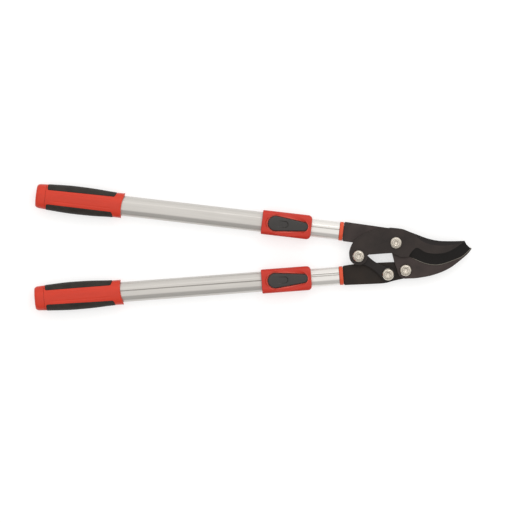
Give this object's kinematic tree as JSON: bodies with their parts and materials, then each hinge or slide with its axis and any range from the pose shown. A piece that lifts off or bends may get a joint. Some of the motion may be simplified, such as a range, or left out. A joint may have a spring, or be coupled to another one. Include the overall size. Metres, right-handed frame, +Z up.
{
  "type": "bypass loppers",
  "caption": "Telescopic two-handed bypass loppers with a curved cutting blade, hooked counter blade, compound linkage and padded grips.",
  "frame": {"origin": "on the surface that the tool lies on, under the middle of its bounding box", "axes": "+X from the grips to the jaws, +Y towards the blade's back and the upper handle, +Z up from the surface"},
  "size_m": [0.67, 0.1938, 0.0353],
  "materials": {
    "coated_steel": "dark non-stick coating over ground steel, satin",
    "plated_bolt": "bright nickel plating",
    "zinc_steel": "zinc plated",
    "aluminium_tube": "satin drawn aluminium",
    "red_plastic": "moulded orange-red plastic, fine satin texture",
    "black_plastic": "moulded near-black plastic",
    "black_rubber": "soft matt rubber"
  },
  "bodies": {
    "upper_arm": {"hook_jaw_and_upper_arm": "coated_steel", "main_pivot_bolt": "plated_bolt", "main_pivot_washer": "zinc_steel", "main_pivot_nut": "zinc_steel", "hook_arm_bolt": "plated_bolt", "hook_arm_washer": "zinc_steel", "hook_arm_nut": "zinc_steel", "upper_ferrule": "red_plastic", "upper_inner_tube": "aluminium_tube", "upper_glide_bush": "black_plastic"},
    "blade": {"cutting_blade": "coated_steel", "blade_link_bolt": "plated_bolt", "blade_link_washer": "zinc_steel", "blade_link_nut": "zinc_steel"},
    "lower_arm": {"lower_arm": "coated_steel", "link_arm_bolt": "plated_bolt", "link_arm_washer": "zinc_steel", "link_arm_nut": "zinc_steel", "lower_ferrule": "red_plastic", "lower_inner_tube": "aluminium_tube", "lower_glide_bush": "black_plastic"},
    "link": {"power_link": "coated_steel"},
    "upper_grip": {"upper_outer_tube": "aluminium_tube", "upper_lock_sleeve": "red_plastic", "upper_lever_hinge_pin": "zinc_steel", "upper_lever_spring": "zinc_steel", "upper_grip_shell": "red_plastic", "upper_grip_outer_pad": "black_rubber", "upper_grip_inner_pad": "black_rubber", "upper_grip_end_cap": "red_plastic"},
    "upper_lever": {"upper_lock_lever": "black_plastic", "upper_lock_pin": "zinc_steel"},
    "lower_grip": {"lower_outer_tube": "aluminium_tube", "lower_lock_sleeve": "red_plastic", "lower_lever_hinge_pin": "zinc_steel", "lower_lever_spring": "zinc_steel", "lower_grip_shell": "red_plastic", "lower_grip_outer_pad": "black_rubber", "lower_grip_inner_pad": "black_rubber", "lower_grip_end_cap": "red_plastic"},
    "lower_lever": {"lower_lock_lever": "black_plastic", "lower_lock_pin": "zinc_steel"}
  },
  "joints": [
    {"name": "lower_handle_swing", "type": "hinge", "parent": "upper_arm", "child": "lower_arm", "pos_m": [0.23438, -0.03508, 0.016], "axis": [0, 0, 1], "range_deg": [0, 80]},
    {"name": "blade_swing", "type": "hinge", "parent": "upper_arm", "child": "blade", "pos_m": [0.21928, 0.00672, 0.02375], "axis": [0, 0, 1], "range_deg": [0, 37.6]},
    {"name": "link_swing", "type": "hinge", "parent": "lower_arm", "child": "link", "pos_m": [0.20738, -0.04148, 0.0186], "axis": [0, 0, 1], "range_deg": [-70.9, 0]},
    {"name": "upper_handle_extend", "type": "slide", "parent": "upper_arm", "child": "upper_grip", "axis": [-0.9933, 0.1158, 0], "range_m": [0, 0.25]},
    {"name": "upper_lock_lever_press", "type": "hinge", "parent": "upper_grip", "child": "upper_lever", "pos_m": [0.05504, 0.03405, 0.0294], "axis": [-0.1158, -0.9933, 0], "range_deg": [0, 6], "stiffness_Nm_per_rad": 1, "springref_deg": -2.86, "deforming": ["upper_lever_spring"]},
    {"name": "lower_handle_extend", "type": "slide", "parent": "lower_arm", "child": "lower_grip", "axis": [-0.9972, -0.0748, 0], "range_m": [0, 0.25]},
    {"name": "lower_lock_lever_press", "type": "hinge", "parent": "lower_grip", "child": "lower_lever", "pos_m": [0.05472, -0.04947, 0.0294], "axis": [0.0748, -0.9972, 0], "range_deg": [0, 6], "stiffness_Nm_per_rad": 1, "springref_deg": -2.86, "deforming": ["lower_lever_spring"]}
  ],
  "couplings": [
    {"joint": "blade_swing", "follows": "lower_handle_swing", "ratio": 0.469},
    {"joint": "link_swing", "follows": "lower_handle_swing", "ratio": -0.885}
  ]
}
